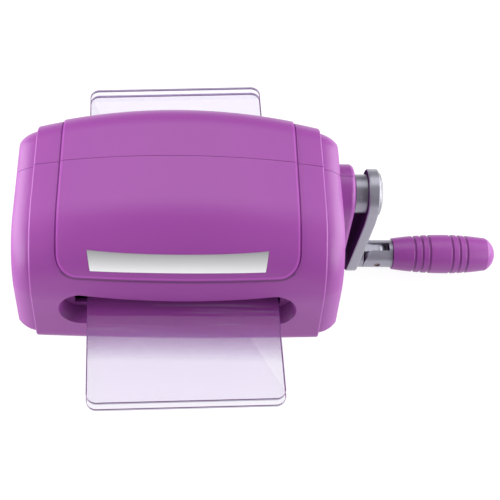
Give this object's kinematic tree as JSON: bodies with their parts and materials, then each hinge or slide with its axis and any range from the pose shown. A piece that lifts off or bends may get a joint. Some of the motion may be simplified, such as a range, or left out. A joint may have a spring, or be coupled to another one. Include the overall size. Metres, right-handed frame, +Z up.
{
  "type": "die cutting machine",
  "caption": "Hand-cranked die cutting machine: crowned purple casing, geared rollers, folding crank and clear plates fed through a slot.",
  "frame": {"origin": "on the table under the rollers, half-way along them, where the feet's plane meets the seam plane", "axes": "+X right along the rollers towards the crank, +Y to the back, +Z up"},
  "size_m": [0.4142, 0.3168, 0.162],
  "materials": {
    "casing": "satin purple plastic",
    "grip": "satin purple plastic",
    "label": "blank white",
    "base": "dark purple",
    "rubber": "black rubber",
    "frame_steel": "grey zinc",
    "bright_steel": "ground",
    "screw_steel": "zinc plated",
    "bronze": "sintered bronze",
    "roller": "ground steel",
    "gear": "sintered steel",
    "crank_grey": "satin grey enamel",
    "hub_silver": "silver grey",
    "clear": "clear acrylic with a faint violet tint"
  },
  "bodies": {
    "housing": {"front_casing": "casing", "rear_casing": "casing", "label_plate": "label", "base_plate": "base", "rubber_feet": "rubber", "left_side_frame": "frame_steel", "right_side_frame": "frame_steel", "tie_rods": "bright_steel", "tie_rod_screws": "screw_steel", "frame_foot_screws": "screw_steel", "casing_screws": "screw_steel", "upper_roller_bushes": "bronze", "lower_roller_bushes": "bronze", "crank_bush": "bronze"},
    "crank": {"upper_roller": "roller", "crank_shaft": "bright_steel", "upper_gear": "gear", "upper_shaft_clip": "screw_steel", "crank_collar": "crank_grey", "crank_arm": "crank_grey", "hub_cap": "hub_silver", "handle_lug": "crank_grey"},
    "lower_roller_set": {"lower_roller": "roller", "lower_shaft": "bright_steel", "lower_gear": "gear", "lower_shaft_clip": "screw_steel"},
    "handle": {"handle_fork": "crank_grey", "fold_pin": "bronze", "grip_spindle": "bright_steel", "spindle_clip": "screw_steel"},
    "grip_turning": {"grip": "grip"},
    "plates": {"cutting_plate": "clear", "base_platform": "clear"}
  },
  "joints": [
    {"name": "crank_turn", "type": "hinge", "parent": "housing", "child": "crank", "pos_m": [0, 0, 0.112], "axis": [1, 0, 0], "range_deg": [-360, 360]},
    {"name": "lower_roller_turn", "type": "hinge", "parent": "housing", "child": "lower_roller_set", "pos_m": [0, 0, 0.068], "axis": [1, 0, 0], "range_deg": [-361, 361]},
    {"name": "plate_feed", "type": "slide", "parent": "housing", "child": "plates", "axis": [-0.0366, 0.9993, 0], "range_m": [-0.125, 0.125]},
    {"name": "handle_fold", "type": "hinge", "parent": "crank", "child": "handle", "pos_m": [0.1775, 0, 0.0195], "axis": [0, -1, 0], "range_deg": [0, 82]},
    {"name": "grip_spin", "type": "hinge", "parent": "handle", "child": "grip_turning", "pos_m": [0.23, 0, 0.0195], "axis": [1, 0, 0], "continuous": true}
  ],
  "couplings": [
    {"joint": "lower_roller_turn", "follows": "crank_turn", "ratio": -1},
    {"joint": "plate_feed", "follows": "crank_turn", "m_per_rad": 0.019}
  ]
}
